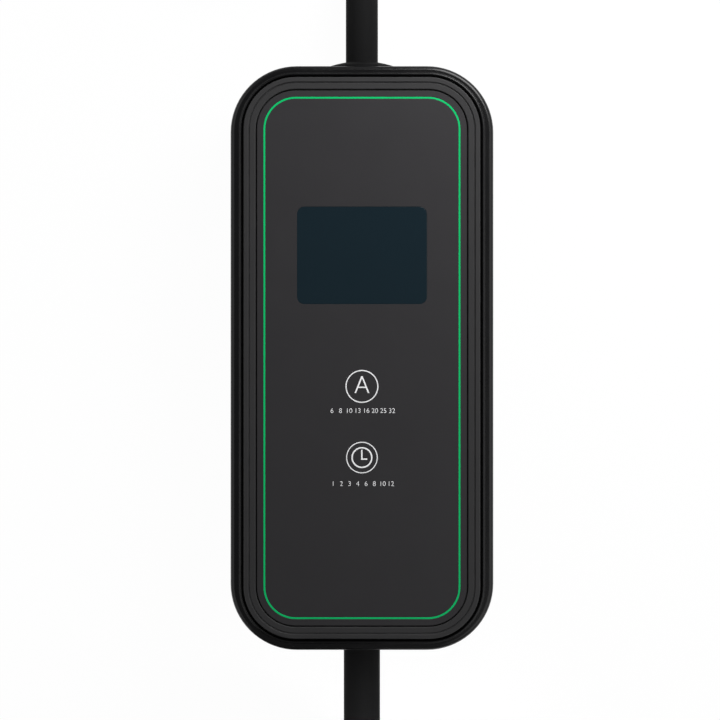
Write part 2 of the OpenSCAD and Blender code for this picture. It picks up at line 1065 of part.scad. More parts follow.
function loop_z(a) =
    mains_r + (plug_r - mains_r) * ease((a - loop_rise_from) / (loop_rise_to - loop_rise_from));

module mains_cord() {
    color("#1c1c1e")
    tube(concat(mains_lead, mains_loop, mains_tail), mains_r);
}

module vehicle_lead() {
    color("#1c1c1e")
    tube(vehicle_lead_route, vehicle_r);
}

module vehicle_tail() {
    color("#1c1c1e")
    tube(concat(tail_run, tail_turn, tail_end), vehicle_r);
}

// Section with rounded corners, standing on y = 0
module soft_section(w, h, r) {
    translate([-w / 2, r])
        square([w, h - 2 * r]);
    translate([-w / 2 + r, 0])
        square([w - 2 * r, h]);
    for (x = [-w / 2 + r, w / 2 - r])
        for (y = [r, h - r])
            translate([x, y])
                circle(r);
}

// One half of the hank: a bend and the straight run that follows it
module hank_half(y, turn) {
    translate([hank_x, y, 0])
        rotate(turn) {
            rotate_extrude(angle = 180)
                translate([hank_mid, 0])
                    soft_section(bundle_w, hank_h, vehicle_r);
            translate([hank_mid, 0, 0])
                rotate([90, 0, 0])
                    linear_extrude(hank_near - hank_far)
                        soft_section(bundle_w, hank_h, vehicle_r);
        }
}

module vehicle_hank() {
    color("#1c1c1e")
    difference() {
        union() {
            hank_half(hank_near, 0);
            hank_half(hank_far, 180);
        }
        translate([-vehicle_r - notch_gap, hank_near, -over])
            cube([bundle_w, hank_out + bundle_w, lead_notch_h + over]);
        for (p = tie_places)
            translate([p.x - bundle_w, p.y - tie_w / 2 - fit, -over])
                cube([2 * bundle_w, tie_w + 2 * fit, tie_t + over]);
    }
}

// Straps that hold the hank's turns together
module hank_ties() {
    color("#2a2b2e")
    for (p = tie_places)
        translate([p.x, p.y, 0])
            rotate([90, 0, 0])
                translate([0, 0, -tie_w / 2])
                    linear_extrude(tie_w)
                        difference() {
                            soft_section(bundle_w + 2 * tie_t, hank_h + tie_t, vehicle_r + tie_t);
                            intersection() {
                                soft_section(bundle_w, hank_h, vehicle_r);
                                translate([-bundle_w, tie_t])
                                    square([2 * bundle_w, hank_h]);
                            }
                        }
}

// Mains plug, drawn along +Z from the cord's end and laid along +Y
module at_plug() {
    translate([0, plug_y, plug_r])
        rotate([-90, 0, 0])
            children();
}

// Tapered boot with grooves that let it bend
module boot(cord_r, tip_r, root_r) {
    difference() {
        rotate_extrude()
            polygon([
                [cord_r + fit, 0], [tip_r, 0], [root_r, boot_l - boot_root], [root_r, boot_l],
                [root_r - boot_step, boot_l], [root_r - boot_step, boot_l + boot_spigot],
                [cord_r + fit, boot_l + boot_spigot]
            ]);
        for (z = [groove_pitch : groove_pitch : boot_l - boot_root])
            translate([0, 0, z])
                rotate_extrude()
                    translate([tip_r - groove_depth + (root_r - tip_r) * z / (boot_l - boot_root), 0])
                        square([root_r, groove_w]);
    }
}

module plug_boot() {
    color("#1d1e20")
    at_plug()
        boot(mains_r, mains_r + boot_lip, plug_boot_r);
}

module plug_body() {
    color("#1a1b1d")
    at_plug()
        difference() {
            rotate_extrude()
                polygon([
                    [0, boot_l], [plug_tail_r, boot_l], [plug_waist_r, boot_l + plug_waist_from],
                    [plug_waist_r, boot_l + plug_waist_to], [plug_r, boot_l + plug_head_from],
                    [plug_r, boot_l + plug_head_from + plug_band],
                    [plug_r - plug_edge / 2, boot_l + plug_head_from + plug_band + plug_edge],
                    [plug_r - plug_edge / 2, plug_face_z - plug_edge],
                    [plug_r - 1.5 * plug_edge, plug_face_z], [0, plug_face_z]
                ]);
            translate([0, 0, boot_l - over])
                cylinder(r = plug_boot_r - boot_step + fit, h = boot_spigot + over + fit);
            for (x = [-1, 1])
                translate([x * pin_x, 0, plug_face_z - pin_root_l])
                    cylinder(r = pin_root_r + fit / 2, h = pin_root_l + over);
            for (turn = [0, 180])
                rotate(turn)
                    translate([-clip_w / 2 - clip_gap, clip_y, plug_face_z - clip_l - over])
                        cube([clip_w + 2 * clip_gap, 2 * clip_slot_depth, clip_l + 2 * over]);
            for (turn = [20 : 20 : 340])
                rotate(turn)
                    translate([plug_waist_r + plug_rib_r / 2, 0, boot_l + plug_waist_from - over])
                        cylinder(r = plug_rib_r, h = plug_waist_to - plug_waist_from + over);
        }
}

module plug_pins() {
    color("#c7c9cc")
    at_plug()
        for (x = [-1, 1])
            translate([x * pin_x, 0, plug_face_z])
                rotate_extrude() {
                    translate([0, -pin_root_l])
                        square([pin_root_r, pin_root_l]);
                    square([pin_r, pin_l - pin_r]);
                    translate([0, pin_l - pin_r])
                        intersection() {
                            circle(pin_r);
                            square(pin_r);
                        }
                }
}

module plug_earth_clips() {
    color("#c7c9cc")
    at_plug()
        for (turn = [0, 180])
            rotate(turn)
                translate([-clip_w / 2, clip_y, plug_face_z - clip_l - over])
                    cube([clip_w, clip_t, clip_l]);
}

// Vehicle connector, drawn along +Z from the cable's end and laid along -Y on its flat
module at_connector() {
    translate([0, connector_y, connector_z])
        rotate([90, 0, 0])
            rotate(180)
                children();
}

module connector_boot() {
    color("#1d1e20")
    at_connector()
        boot(vehicle_r, vehicle_r + 2 * boot_lip, connector_boot_r);
}

// Barrel of the grip, with its flared collar, less a skin of the given thickness
module grip_solid(skin) {
    rotate_extrude($fn = 180)
        difference() {
            union() {
                intersection() {
                    translate([grip_r - grip_arc, handle_z0 + 0.5 * handle_l])
                        circle(grip_arc - skin, $fn = 360);
                    translate([0, handle_z0 + skin])
                        square([2 * grip_r, handle_l - skin]);
                }
                polygon([
                    [0, collar_z - flare_l], [flare_from_r - skin, collar_z - flare_l],
                    [connector_collar_r - skin, collar_z],
                    [connector_collar_r - skin, handle_z1], [0, handle_z1]
                ]);
            }
            translate([-2 * grip_arc, 0])
                square([2 * grip_arc, 2 * handle_z1]);
        }
}

module flat_cut() {
    translate([-half_space, flat_y, 0])
        cube([2 * half_space, half_space, 2 * handle_z1]);
}

module handle_shell() {
    difference() {
        union() {
            difference() {
                grip_solid(0);
                grip_solid(handle_wall);
            }
            intersection() {
                grip_solid(0);
                for (z = handle_screw_places)
                    translate([-half_space, handle_screw_y, z])
                        rotate([0, 90, 0])
                            cylinder(r = handle_boss_r, h = 2 * half_space);
            }
            intersection() {
                grip_solid(0);
                translate([-half_space, flat_y - handle_wall, collar_z - flare_l])
                    cube([2 * half_space, half_space, handle_z1 - collar_z + flare_l]);
            }
        }
        flat_cut();
        translate([0, 0, handle_z0 - over])
            cylinder(r = connector_boot_r - boot_step + fit, h = handle_wall + 3 * over);
        for (z = handle_screw_places)
            translate([-half_space, handle_screw_y, z])
                rotate([0, 90, 0])
                    cylinder(r = small_r + fit, h = 2 * half_space);
        for (z = handle_screw_places)
            translate([handle_screw_x, handle_screw_y, z])
                rotate([0, 90, 0])
                    cylinder(r = small_head_r + hole_gap, h = half_space);
    }
}

module handle_left() {
    color("#18191b")
    at_connector()
        intersection() {
            handle_shell();
            translate([-half_space, -half_space, 0])
                cube([half_space, 2 * half_space, 2 * handle_z1]);
        }
}

module handle_right() {
    color("#18191b")
    at_connector()
        intersection() {
            handle_shell();
            translate([0, -half_space, 0])
                cube([half_space, 2 * half_space, 2 * handle_z1]);
        }
}

module handle_screws() {
    color("#8d8f92")
    at_connector()
        for (z = handle_screw_places)
            translate([handle_screw_x, handle_screw_y, z])
                rotate([0, -90, 0])
                    screw(small_r, handle_screw_l, small_head_r, small_head_h);
}

// Round outline with one flat
module flat_round(r, flat) {
    intersection() {
        circle(r);
        translate([-r, -r])
            square([2 * r, r + flat]);
    }
}

module carrier_seal() {
    color("#c46a1e")
    at_connector()
        translate([0, 0, handle_z1])
            linear_extrude(seal_t)
                difference() {
                    flat_round(connector_collar_r, flat_y);
                    circle(seal_hole_r);
                }
}

module contact_carrier() {
    color("#101113")
    at_connector()
        difference() {
            translate([0, 0, carrier_z0]) {
                linear_extrude(carrier_flange_t)
                    flat_round(connector_collar_r, flat_y);
                linear_extrude(carrier_l)
                    flat_round(carrier_r, flat_y - carrier_step);
            }
            at(power_places, carrier_z0 - over)
                cylinder(r = power_sleeve_r + fit / 2, h = carrier_l - contact_front + over);
            at(power_places, carrier_z0)
                cylinder(r = power_hole_r, h = carrier_l + over);
            at(signal_places, carrier_z0 - over)
                cylinder(r = signal_sleeve_r + fit / 2, h = carrier_l - contact_front + over);
            at(signal_places, carrier_z0)
                cylinder(r = signal_hole_r, h = carrier_l + over);
            at(spare_places, carrier_z1 - spare_l)
                cylinder(r = power_hole_r, h = spare_l + over);
            translate([-lock_w / 2, flat_y - lock_depth, carrier_z1 - lock_z])
                cube([lock_w, 2 * lock_depth, lock_l]);
        }
}

// Hollow contact, closed at the back
module contact(r, sleeve_r) {
    difference() {
        cylinder(r = sleeve_r, h = contact_l);
        translate([0, 0, contact_l - contact_bore])
            cylinder(r = r, h = contact_bore + over);
    }
}

module power_contacts() {
    color("#c9ccd0")
    at_connector()
        at(power_places, carrier_z1 - contact_front - contact_l)
            contact(power_contact_r, power_sleeve_r);
}

module signal_contacts() {
    color("#c9ccd0")
    at_connector()
        at(signal_places, carrier_z1 - contact_front - contact_l)
            contact(signal_contact_r, signal_sleeve_r);
}

module connector_cores() {
    from_z = 61;
    stub = 8;
    bend = 26;
    to_z = carrier_z1 - contact_front - contact_l;
    starts = [[-vehicle_core_gap, 0], [0, 0], [vehicle_core_gap, 0], [0, vehicle_core_gap]];
    ends = [power_places[0], power_places[1], power_places[2], signal_places[1]];
    color("#2c55b5")
    at_connector()
        for (i = [0 : 3])
            let (a = starts[i], b = ends[i])
                tube([
                    [a.x, a.y, from_z], [a.x, a.y, from_z + stub],
                    [a.x + (b.x - a.x) * 0.25, a.y + (b.y - a.y) * 0.25, from_z + bend],
                    [a.x + (b.x - a.x) * 0.75, a.y + (b.y - a.y) * 0.75, to_z - bend],
                    [b.x, b.y, to_z - stub], [b.x, b.y, to_z]
                ], vehicle_core_r, 8, [0, 1, 0]);
}

rear_housing();
front_housing();
housing_seal();
bezel_frame();
bezel_screws();
front_panel();
green_trim();
panel_tape();
display_window();
display_glass();
display_tray();
control_board();
control_screws();
touch_springs();
ribbon_sockets();
ribbon_cable();
power_board();
board_screws();
relays();
leakage_sensor();
sensor_wires();
supply_module();
capacitors();
varistors();
fuse_holder();
fuse();
mains_terminals();
vehicle_terminals();
mains_cores();
vehicle_cores();
mains_gland();
mains_gland_nut();
vehicle_gland();
vehicle_gland_nut();
mains_cord_clamp();
vehicle_cord_clamp();
clamp_screws();
housing_screws();
mains_cord();
plug_boot();
plug_body();
plug_pins();
plug_earth_clips();
vehicle_lead();
vehicle_hank();
vehicle_tail();
hank_ties();
connector_boot();
handle_left();
handle_right();
handle_screws();
carrier_seal();
contact_carrier();
power_contacts();
signal_contacts();
connector_cores();
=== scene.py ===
"""Looks of the portable vehicle charger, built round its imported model.

The control box lies on its back and the camera looks straight down on it. The mains lead
with its plug and the tied hank of vehicle cable lie beyond the two ends of the picture.
"""

import logging
import math
from dataclasses import dataclass
from enum import Enum

import bmesh
import bpy
from mathutils import Matrix, Vector

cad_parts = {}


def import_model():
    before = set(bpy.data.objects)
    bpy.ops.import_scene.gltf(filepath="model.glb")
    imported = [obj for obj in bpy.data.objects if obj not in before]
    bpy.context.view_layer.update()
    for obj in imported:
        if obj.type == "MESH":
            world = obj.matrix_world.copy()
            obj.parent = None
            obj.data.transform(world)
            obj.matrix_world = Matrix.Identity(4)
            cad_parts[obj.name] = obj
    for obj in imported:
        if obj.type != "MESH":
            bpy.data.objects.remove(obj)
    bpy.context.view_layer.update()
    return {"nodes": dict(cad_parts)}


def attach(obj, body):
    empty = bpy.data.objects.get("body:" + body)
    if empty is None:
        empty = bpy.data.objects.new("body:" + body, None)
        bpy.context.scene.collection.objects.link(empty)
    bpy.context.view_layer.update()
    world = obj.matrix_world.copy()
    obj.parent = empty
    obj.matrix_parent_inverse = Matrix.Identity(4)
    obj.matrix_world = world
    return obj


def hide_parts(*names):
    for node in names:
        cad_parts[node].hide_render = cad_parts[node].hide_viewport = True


LOG = logging.getLogger("charger")
BODY = "root"

# Places that several pieces share, in millimetres
EXIT_Z = 19.0
PANEL_Z = 51.2
HANK_MIDDLE = -55.75

# Steps of the vehicle cable along each bend and each straight run of its hank
BEND_STEPS = 12
RUN_STEPS = 5

# Corners closer than this are one corner, in metres
WELD = 1e-7

# Colours of rubbed edges and of the tracks on a board
RUBBED = (0.16, 0.16, 0.165, 1.0)
TRACK = (0.06, 0.22, 0.09, 1.0)

Point = tuple[float, float, float]
Flat = tuple[float, float]
Colour = tuple[float, float, float]


def metres(*values: float) -> Vector:
    """A place or length list given in millimetres, as a vector in metres."""
    return Vector(values) / 1000


def ease(t: float) -> float:
    """A smooth step from 0 to 1, flat at both ends."""
    return (1 - math.cos(math.pi * min(max(t, 0.0), 1.0))) / 2


def lead_out(lead: tuple[Flat, ...], low: float) -> list[Vector]:
    """Give the first points of a cord, which sinks from its exit to the floor.

    Args:
        lead: Distance along the box in millimetres, and how much of the way down is left there.
        low: Height of the cord on the floor, in millimetres.

    Returns:
        The points in metres.
    """
    return [metres(0, y, low + (EXIT_Z - low) * share) for y, share in lead]


class Surface(Enum):
    """The kinds of surface that the charger's pieces have."""

    PLASTIC = "plastic"
    GLOSS = "gloss"
    RUBBER = "rubber"
    METAL = "metal"
    WOVEN = "woven"
    BOARD = "board"
    PRINT = "print"


@dataclass(frozen=True)
class Finish:
    """One finish: its colour, gloss and the scale of its fine detail.

    Attributes:
        name: Name of the material.
        surface: Kind of surface, which picks the node set-up.
        colour: Linear base colour.
        roughness: Middle roughness.
        grain: Grains for each metre of surface.
        depth: Height of the grain in metres.
        drift: Share by which the colour wanders.
        specular: Specular level of the surface.
        coat: Weight of a clear top layer.
        edge: Radius in metres by which sharp edges look rounded.
        rub: How far edges are rubbed lighter, from 0 to 1.
    """

    name: str
    surface: Surface
    colour: Colour
    roughness: float
    grain: float = 2600.0
    depth: float = 0.00002
    drift: float = 0.08
    specular: float = 0.35
    coat: float = 0.0
    edge: float = 0.00025
    rub: float = 0.25


class Wiring:
    """A thin layer over a node tree that adds and joins nodes."""

    def __init__(self, tree: bpy.types.NodeTree) -> None:
        """Keep the tree that the nodes go into."""
        self.tree = tree

    def add(self, kind: str, **settings: object) -> bpy.types.Node:
        """Add a node.

        Args:
            kind: Blender's name for the node type.
            settings: Properties to set on the node.

        Returns:
            The new node.
        """
        node = self.tree.nodes.new(kind)
        for key, value in settings.items():
            setattr(node, key, value)
        return node

    def group(self, tree: bpy.types.NodeTree, **values: object) -> bpy.types.Node:
        """Place a shared effect.

        Args:
            tree: The effect's group.
            values: Numbers, colours or sockets for its inputs.

        Returns:
            The group node.
        """
        node = self.add("ShaderNodeGroup", node_tree=tree)
        for key, value in values.items():
            self.feed(value, node.inputs[key])
        return node

    def join(self, source: bpy.types.NodeSocket, target: bpy.types.NodeSocket) -> None:
        """Link an output to an input."""
        self.tree.links.new(source, target)

    def feed(self, value: object, target: bpy.types.NodeSocket) -> None:
        """Link an output to an input, or set a plain value on it."""
        if isinstance(value, bpy.types.NodeSocket):
            self.join(value, target)
        else:
            target.default_value = value

    def place(self) -> bpy.types.NodeSocket:
        """Give the place of the shaded point in the object's own frame."""
        return self.add("ShaderNodeTexCoord").outputs["Object"]

    def sum_of(self, operation: str, first: object, second: object) -> bpy.types.NodeSocket:
        """Add a maths node.

        Args:
            operation: Blender's name for the operation.
            first: A socket or a number.
            second: A socket or a number.

        Returns:
            The node's output.
        """
        node = self.add("ShaderNodeMath", operation=operation)
        self.feed(first, node.inputs[0])
        self.feed(second, node.inputs[1])
        return node.outputs[0]

    def swing(self, value: bpy.types.NodeSocket) -> bpy.types.NodeSocket:
        """Turn a value between 0 and 1 into one between -1 and 1."""
        return self.sum_of("MULTIPLY", self.sum_of("SUBTRACT", value, 0.5), 2.0)

    def ranged(
        self, value: bpy.types.NodeSocket, low: float, high: float, to: Flat
    ) -> bpy.types.NodeSocket:
        """Map a value from one range to another.

        Args:
            value: The value to map.
            low: Start of its range.
            high: End of its range.
            to: The range that comes out.

        Returns:
            The mapped value.
        """
        node = self.add("ShaderNodeMapRange")
        self.join(value, node.inputs["Value"])
        node.inputs["From Min"].default_value = low
        node.inputs["From Max"].default_value = high
        node.inputs["To Min"].default_value = to[0]
        node.inputs["To Max"].default_value = to[1]
        return node.outputs["Result"]


class Effects:
    """The effects that several finishes share, each one a shader node group built once."""

    def __init__(self) -> None:
        """Build the groups."""
        self.grain = self._grain()
        self.drift = self._drift()
        self.rub = self._rub()
        self.weave = self._weave()
        self.haze = self._haze()

    @staticmethod
    def _open(
        name: str, inputs: dict[str, object], outputs: dict[str, str]
    ) -> tuple[Wiring, bpy.types.Node, bpy.types.Node]:
        """Start a node group.

        Args:
            name: Name of the group.
            inputs: Each input's name with its first value; a tuple makes a colour.
            outputs: Each output's name with its socket type.

        Returns:
            The group's wiring, its input node and its output node.
        """
        tree = bpy.data.node_groups.new(name, "ShaderNodeTree")
        for key, value in inputs.items():
            kind = "NodeSocketColor" if isinstance(value, tuple) else "NodeSocketFloat"
            socket = tree.interface.new_socket(name=key, in_out="INPUT", socket_type=kind)
            socket.default_value = value
        for key, kind in outputs.items():
            tree.interface.new_socket(name=key, in_out="OUTPUT", socket_type=kind)
        wiring = Wiring(tree)
        return wiring, wiring.add("NodeGroupInput"), wiring.add("NodeGroupOutput")

    def _grain(self) -> bpy.types.NodeTree:
        """Build the fine leather-like grain of a moulded part, as a height."""
        w, given, out = self._open(
            "moulded_grain", {"Scale": 2600.0}, {"Height": "NodeSocketFloat"}
        )
        place = w.place()
        cells = w.add("ShaderNodeTexVoronoi", feature="SMOOTH_F1")
        cells.inputs["Smoothness"].default_value = 0.6
        fine = w.add("ShaderNodeTexNoise")
        fine.inputs["Detail"].default_value = 3.0
        w.join(place, cells.inputs["Vector"])
        w.join(place, fine.inputs["Vector"])
        w.join(given.outputs["Scale"], cells.inputs["Scale"])
        w.join(w.sum_of("MULTIPLY", given.outputs["Scale"], 0.37), fine.inputs["Scale"])
        height = w.sum_of("ADD", cells.outputs["Distance"], fine.outputs["Fac"])
        w.join(w.sum_of("MULTIPLY", height, 0.5), out.inputs["Height"])
        return w.tree

    def _drift(self) -> bpy.types.NodeTree:
        """Build the slow wander of a colour over a part."""
        w, given, out = self._open(
            "colour_drift",
            {"Color": (0.5, 0.5, 0.5, 1.0), "Amount": 0.1, "Scale": 30.0},
            {"Color": "NodeSocketColor"},
        )
        slow = w.add("ShaderNodeTexNoise")
        slow.inputs["Detail"].default_value = 4.0
        w.join(w.place(), slow.inputs["Vector"])
        w.join(given.outputs["Scale"], slow.inputs["Scale"])
        shift = w.sum_of("MULTIPLY", w.swing(slow.outputs["Fac"]), given.outputs["Amount"])
        tint = w.add("ShaderNodeVectorMath", operation="SCALE")
        w.join(given.outputs["Color"], tint.inputs[0])
        w.join(w.sum_of("ADD", 1.0, shift), tint.inputs["Scale"])
        w.join(tint.outputs["Vector"], out.inputs["Color"])
        return w.tree

    def _rub(self) -> bpy.types.NodeTree:
        """Build the lighter rubbed look of edges, from the turn of a rounded normal."""
        w, given, out = self._open(
            "edge_rub",
            {"Color": (0.1, 0.1, 0.1, 1.0), "Amount": 0.3, "Width": 0.0006},
            {"Color": "NodeSocketColor"},
        )
        rounded = w.add("ShaderNodeBevel", samples=4)
        w.join(given.outputs["Width"], rounded.inputs["Radius"])
        true = w.add("ShaderNodeNewGeometry")
        turn = w.add("ShaderNodeVectorMath", operation="DOT_PRODUCT")
        w.join(rounded.outputs["Normal"], turn.inputs[0])
        w.join(true.outputs["Normal"], turn.inputs[1])
        edge = w.ranged(turn.outputs["Value"], 0.995, 0.8, (0.0, 1.0))
        patch = w.add("ShaderNodeTexNoise")
        patch.inputs["Scale"].default_value = 160.0
        w.join(w.place(), patch.inputs["Vector"])
        spots = w.ranged(patch.outputs["Fac"], 0.35, 0.7, (0.2, 1.0))
        mask = w.sum_of("MULTIPLY", edge, spots)
        lift = w.add("ShaderNodeMix", data_type="RGBA", blend_type="MIX")
        w.join(w.sum_of("MULTIPLY", mask, given.outputs["Amount"]), lift.inputs["Factor"])
        w.join(given.outputs["Color"], lift.inputs["A"])
        lift.inputs["B"].default_value = RUBBED
        w.join(lift.outputs["Result"], out.inputs["Color"])
        return w.tree

    def _weave(self) -> bpy.types.NodeTree:
        """Build a strap's woven ribs: a height, and a mask of painted shade in their grooves."""
        w, given, out = self._open(
            "woven_rib",
            {"Scale": 900.0},
            {"Height": "NodeSocketFloat", "GrooveShade": "NodeSocketFloat"},
        )
        place = w.place()
        heights = []
        for direction in ("Y", "DIAGONAL"):
            wave = w.add("ShaderNodeTexWave", wave_type="BANDS", bands_direction=direction)
            wave.inputs["Distortion"].default_value = 0.4
            w.join(place, wave.inputs["Vector"])
            w.join(given.outputs["Scale"], wave.inputs["Scale"])
            heights.append(wave.outputs["Fac"])
        w.join(w.sum_of("MULTIPLY", heights[0], heights[1]), out.inputs["Height"])
        # The low parts of the diagonal ribs also give the mask of painted shade in the grooves.
        w.join(heights[1], out.inputs["GrooveShade"])
        return w.tree

    def _haze(self) -> bpy.types.NodeTree:
        """Build the uneven roughness that handling leaves."""
        w, given, out = self._open(
            "handling_haze",
            {"Roughness": 0.5, "Amount": 0.06, "Scale": 70.0},
            {"Roughness": "NodeSocketFloat"},
        )
        smear = w.add("ShaderNodeTexNoise")
        smear.inputs["Detail"].default_value = 5.0
        smear.inputs["Distortion"].default_value = 0.6
        w.join(w.place(), smear.inputs["Vector"])
        w.join(given.outputs["Scale"], smear.inputs["Scale"])
        shift = w.sum_of("MULTIPLY", w.swing(smear.outputs["Fac"]), given.outputs["Amount"])
        w.join(w.sum_of("ADD", given.outputs["Roughness"], shift), out.inputs["Roughness"])
        return w.tree


class FinishShop:
    """Makes each finish's material once and hands it out."""

    def __init__(self) -> None:
        """Build the shared effects and start with no materials."""
        self.effects = Effects()
        self.made: dict[str, bpy.types.Material] = {}

    def material(self, finish: Finish) -> bpy.types.Material:
        """Give the material of a finish.

        Args:
            finish: The finish that is wanted.

        Returns:
            Its material, made at the first call.
        """
        if finish.name not in self.made:
            self.made[finish.name] = self._make(finish)
        return self.made[finish.name]

    def _make(self, finish: Finish) -> bpy.types.Material:
        """Build a finish's material.

        Args:
            finish: The finish to build.

        Returns:
            The new material.
        """
        material = bpy.data.materials.new(finish.name)
        material.use_nodes = True
        shader = material.node_tree.nodes["Principled BSDF"]
        w = Wiring(material.node_tree)
        shader.inputs["Specular IOR Level"].default_value = finish.specular
        shader.inputs["Coat Weight"].default_value = finish.coat
        shader.inputs["Coat Roughness"].default_value = 0.06
        if finish.surface is Surface.METAL:
            shader.inputs["Metallic"].default_value = 1.0

        drift = w.group(
            self.effects.drift, Color=(*finish.colour, 1.0), Amount=finish.drift, Scale=45.0
        )
        colour = drift.outputs["Color"]
        if finish.surface is Surface.WOVEN:
            weave = w.group(self.effects.weave, Scale=finish.grain)
            height = weave.outputs["Height"]
            # Painted shade: the strap's colour is darkened in the grooves between its diagonal
            # ribs.
            shade = w.add("ShaderNodeMix", data_type="RGBA", blend_type="MULTIPLY")
            shade.inputs["Factor"].default_value = 0.55
            w.join(colour, shade.inputs["A"])
            w.join(weave.outputs["GrooveShade"], shade.inputs["B"])
            colour = shade.outputs["Result"]
        else:
            height = w.group(self.effects.grain, Scale=finish.grain).outputs["Height"]
        if finish.surface is Surface.BOARD:
            colour = self._tracks(w, colour)
        if finish.rub > 0:
            rub = w.group(
                self.effects.rub, Color=colour, Amount=finish.rub, Width=finish.edge * 2
            )
            colour = rub.outputs["Color"]
        w.join(colour, shader.inputs["Base Color"])

        haze = w.group(self.effects.haze, Roughness=finish.roughness)
        w.join(haze.outputs["Roughness"], shader.inputs["Roughness"])
        bump = w.add("ShaderNodeBump")
        bump.inputs["Strength"].default_value = 0.6
        bump.inputs["Distance"].default_value = finish.depth
        w.join(height, bump.inputs["Height"])
        rounded = w.add("ShaderNodeBevel", samples=4)
        rounded.inputs["Radius"].default_value = finish.edge
        w.join(rounded.outputs["Normal"], bump.inputs["Normal"])
        w.join(bump.outputs["Normal"], shader.inputs["Normal"])
        return material

    @staticmethod
    def _tracks(w: Wiring, colour: bpy.types.NodeSocket) -> bpy.types.NodeSocket:
        """Draw lighter copper tracks under a board's mask.

        Args:
            w: Wiring of the material.
            colour: The mask's own colour.

        Returns:
            The colour with tracks in it.
        """
        cells = w.add("ShaderNodeTexVoronoi", feature="DISTANCE_TO_EDGE", distance="CHEBYCHEV")
        cells.inputs["Scale"].default_value = 170.0
        w.join(w.place(), cells.inputs["Vector"])
        track = w.ranged(cells.outputs["Distance"], 0.03, 0.06, (0.6, 0.0))
        mix = w.add("ShaderNodeMix", data_type="RGBA", blend_type="MIX")
        w.join(track, mix.inputs["Factor"])
        w.join(colour, mix.inputs["A"])
        mix.inputs["B"].default_value = TRACK
        return mix.outputs["Result"]


HOUSING = Finish(
    "housing_black", Surface.PLASTIC, (0.0017, 0.0017, 0.002), 0.24,
    depth=0.000010, specular=0.4, rub=0.05,
)
BEZEL = Finish(
    "bezel_grey", Surface.PLASTIC, (0.0185, 0.0183, 0.019), 0.45,
    depth=0.000008, specular=0.3, rub=0.1,
)
PANEL = Finish(
    "panel_grey", Surface.PLASTIC, (0.0155, 0.0147, 0.0162), 0.48,
    grain=5200.0, depth=0.000004, drift=0.05, specular=0.3, rub=0.0,
)
GREEN = Finish(
    "line_green", Surface.GLOSS, (0.001, 0.36, 0.105), 0.4,
    depth=0.000002, drift=0.06, specular=0.12, rub=0.0,
)
WINDOW = Finish(
    "window_dark", Surface.GLOSS, (0.0045, 0.0112, 0.016), 0.14,
    grain=900.0, depth=0.000001, drift=0.05, rub=0.0,
)
SIGN = Finish(
    "sign_white", Surface.PRINT, (0.72, 0.72, 0.73), 0.5, depth=0.000003, drift=0.05, rub=0.0
)
GLASS = Finish(
    "display_glass", Surface.GLOSS, (0.012, 0.02, 0.025), 0.08, depth=0.000001, coat=0.6, rub=0.0
)
STEEL = Finish(
    "zinc_steel", Surface.METAL, (0.55, 0.56, 0.57), 0.32, grain=3800.0, depth=0.000004, rub=0.0
)
NICKEL = Finish(
    "nickel_plate", Surface.METAL, (0.68, 0.67, 0.65), 0.18, grain=2400.0, depth=0.000002, rub=0.0
)
BRASS = Finish("spring_brass", Surface.METAL, (0.62, 0.45, 0.18), 0.25, depth=0.000003, rub=0.0)
BOARD = Finish("board_green", Surface.BOARD, (0.012, 0.085, 0.035), 0.35, depth=0.000003, coat=0.4)
PART_DARK = Finish("part_dark", Surface.PLASTIC, (0.02, 0.021, 0.023), 0.5)
PART_BLUE = Finish("part_blue", Surface.GLOSS, (0.02, 0.09, 0.24), 0.35, depth=0.000006)
PART_GREEN = Finish("part_green", Surface.PLASTIC, (0.05, 0.21, 0.075), 0.45, depth=0.000008)
CORE_BLUE = Finish("core_blue", Surface.RUBBER, (0.025, 0.09, 0.46), 0.45, depth=0.000006)
SEAL_GREY = Finish("seal_grey", Surface.RUBBER, (0.045, 0.045, 0.048), 0.7)
SEAL_ORANGE = Finish("seal_orange", Surface.RUBBER, (0.55, 0.14, 0.012), 0.6)
JACKET = Finish(
    "cord_black", Surface.RUBBER, (0.0066, 0.0066, 0.0068), 0.7,
    grain=1500.0, depth=0.000014, drift=0.15, specular=0.05, rub=0.0,
)
PLUG = Finish(
    "plug_black", Surface.PLASTIC, (0.009, 0.009, 0.0095), 0.45,
    grain=2000.0, depth=0.000018, rub=0.3,
)
STRAP = Finish(
    "strap_woven", Surface.WOVEN, (0.03, 0.031, 0.034), 0.85, grain=420.0, depth=0.0002, rub=0.0
)

NODE_FINISH: dict[Finish, tuple[str, ...]] = {
    HOUSING: ("rear_housing", "front_housing"),
    BEZEL: ("bezel_frame",),
    PANEL: ("front_panel",),
    GREEN: ("green_trim",),
    WINDOW: ("display_window",),
    GLASS: ("display_glass",),
    STEEL: (
        "bezel_screws", "control_screws", "board_screws", "clamp_screws", "housing_screws",
        "handle_screws", "display_tray",
    ),
    NICKEL: ("plug_pins", "plug_earth_clips", "power_contacts", "signal_contacts", "fuse"),
    BRASS: ("touch_springs",),
    BOARD: ("control_board", "power_board"),
    PART_DARK: (
        "panel_tape", "ribbon_sockets", "ribbon_cable", "leakage_sensor", "supply_module",
        "fuse_holder", "mains_cord_clamp", "vehicle_cord_clamp",
    ),
    PART_BLUE: ("relays", "capacitors", "varistors"),
    PART_GREEN: ("mains_terminals", "vehicle_terminals"),
    CORE_BLUE: ("sensor_wires", "mains_cores", "vehicle_cores", "connector_cores"),
    SEAL_GREY: ("housing_seal",),
    SEAL_ORANGE: ("carrier_seal",),
    JACKET: ("mains_gland", "vehicle_gland", "plug_boot", "connector_boot"),
    PLUG: (
        "mains_gland_nut", "vehicle_gland_nut", "plug_body", "handle_left", "handle_right",
        "contact_carrier",
    ),
}


def settle(piece: bpy.types.Object, material: bpy.types.Material) -> None:
    """Dress a new piece and let it ride on the charger.

    Args:
        piece: The piece, in its place.
        material: Its material.
    """
    piece.data.materials.clear()
    piece.data.materials.append(material)
    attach(piece, BODY)
    LOG.info("piece %s", piece.name)


